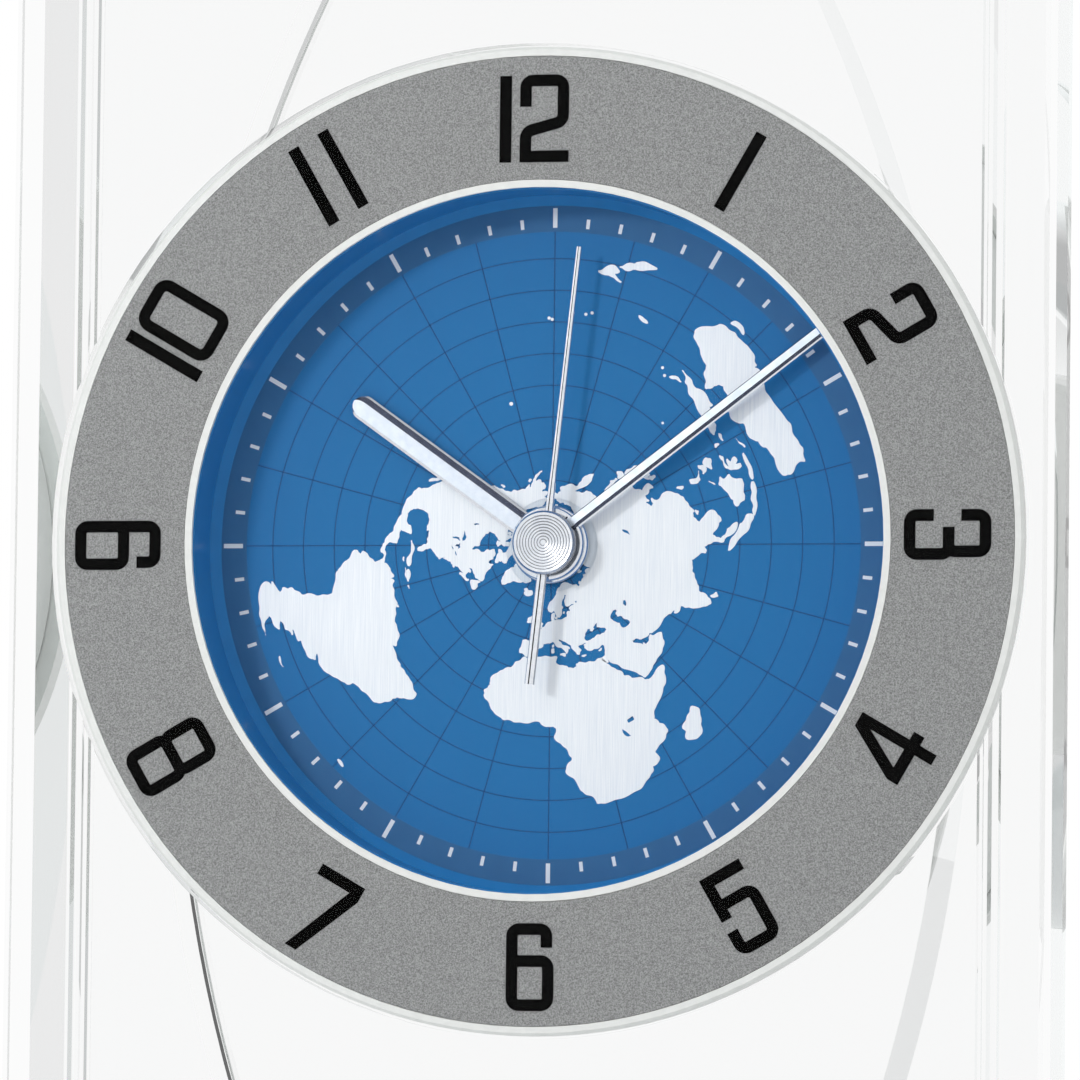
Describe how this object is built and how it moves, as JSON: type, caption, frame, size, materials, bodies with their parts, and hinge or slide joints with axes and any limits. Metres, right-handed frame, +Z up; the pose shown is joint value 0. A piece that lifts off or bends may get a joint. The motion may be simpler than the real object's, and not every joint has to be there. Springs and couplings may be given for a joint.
{
  "type": "world time clock",
  "caption": "Upright desk clock: a clear two-part case holds a round world-map dial with a numeral ring, three hands and a coupled quartz gear train.",
  "frame": {"origin": "centre of the bounding box on the table, under the case", "axes": "+X to the right seen from the front, +Y from the face to the back, +Z up"},
  "size_m": [0.111, 0.0312, 0.17],
  "materials": {
    "clear_plastic": "clear, polished",
    "white_plastic": "satin white",
    "grey_grain": "grey with a fine blasted grain",
    "blue_gloss": "blue, glossy",
    "blue_print": "printed blue sea with brushed bright land",
    "bright_metal": "bright, bevelled",
    "black_plastic": "moulded black",
    "smoke_plastic": "moulded smoke grey",
    "steel": "zinc plated",
    "wheel_plastic": "natural, satin",
    "brass": "turned",
    "magnet": "dark grey",
    "stator_steel": "laminated",
    "copper": "copper wire winding",
    "board_green": "green solder mask",
    "battery_sleeve": "printed sleeve without marks",
    "spring_metal": "nickel plated spring strip"
  },
  "bodies": {
    "case": {"front_panel": "clear_plastic", "clear_block": "clear_plastic", "dial_cup": "white_plastic", "numeral_ring": "grey_grain", "reflector_ring": "blue_gloss", "dial_plate": "blue_print", "main_plate": "black_plastic", "train_cover": "smoke_plastic", "train_screws": "steel", "stator": "stator_steel", "coil": "copper", "circuit_board": "board_green", "quartz_crystal": "steel", "battery": "battery_sleeve", "plus_contact": "spring_metal", "minus_contact": "spring_metal", "rear_cover": "white_plastic", "cover_screws": "steel"},
    "hour": {"hour_hand": "bright_metal", "hour_wheel": "wheel_plastic"},
    "minute": {"minute_hand": "bright_metal", "cannon_pinion": "brass"},
    "motion": {"motion_wheel": "wheel_plastic"},
    "setting": {"setting_knob": "wheel_plastic"},
    "second": {"second_hand": "bright_metal", "hand_cap": "bright_metal", "second_wheel": "wheel_plastic"},
    "third": {"third_wheel": "wheel_plastic"},
    "centre": {"centre_wheel": "wheel_plastic"},
    "step": {"step_wheel": "wheel_plastic"},
    "rotor": {"rotor": "magnet"},
    "door": {"battery_door": "white_plastic"}
  },
  "joints": [
    {"name": "minute_turn", "type": "hinge", "parent": "case", "child": "minute", "pos_m": [0, 0, 0.095], "axis": [0, 1, 0], "continuous": true},
    {"name": "hour_turn", "type": "hinge", "parent": "case", "child": "hour", "pos_m": [0, 0, 0.095], "axis": [0, 1, 0], "continuous": true},
    {"name": "motion_turn", "type": "hinge", "parent": "case", "child": "motion", "pos_m": [0.00598, 0, 0.09448], "axis": [0, 1, 0], "continuous": true},
    {"name": "setting_turn", "type": "hinge", "parent": "case", "child": "setting", "pos_m": [0.01345, 0, 0.09382], "axis": [0, 1, 0], "continuous": true},
    {"name": "second_turn", "type": "hinge", "parent": "case", "child": "second", "pos_m": [0, 0, 0.095], "axis": [0, 1, 0], "continuous": true},
    {"name": "third_turn", "type": "hinge", "parent": "case", "child": "third", "pos_m": [-0.00883, 0, 0.1001], "axis": [0, 1, 0], "continuous": true},
    {"name": "centre_turn", "type": "hinge", "parent": "case", "child": "centre", "pos_m": [0, 0, 0.095], "axis": [0, 1, 0], "continuous": true},
    {"name": "step_turn", "type": "hinge", "parent": "case", "child": "step", "pos_m": [0.0054, 0, 0.10435], "axis": [0, 1, 0], "continuous": true},
    {"name": "rotor_turn", "type": "hinge", "parent": "case", "child": "rotor", "pos_m": [0.01267, 0, 0.10855], "axis": [0, 1, 0], "continuous": true},
    {"name": "door_lift", "type": "slide", "parent": "case", "child": "door", "axis": [0, 1, 0], "range_m": [0, 0.015]}
  ],
  "couplings": [
    {"joint": "hour_turn", "follows": "minute_turn", "ratio": 0.083333},
    {"joint": "motion_turn", "follows": "minute_turn", "ratio": -0.33333},
    {"joint": "setting_turn", "follows": "minute_turn", "ratio": 0.5},
    {"joint": "third_turn", "follows": "second_turn", "ratio": -0.13333},
    {"joint": "centre_turn", "follows": "second_turn", "ratio": 0.016667},
    {"joint": "step_turn", "follows": "second_turn", "ratio": -5},
    {"joint": "rotor_turn", "follows": "second_turn", "ratio": 30}
  ]
}
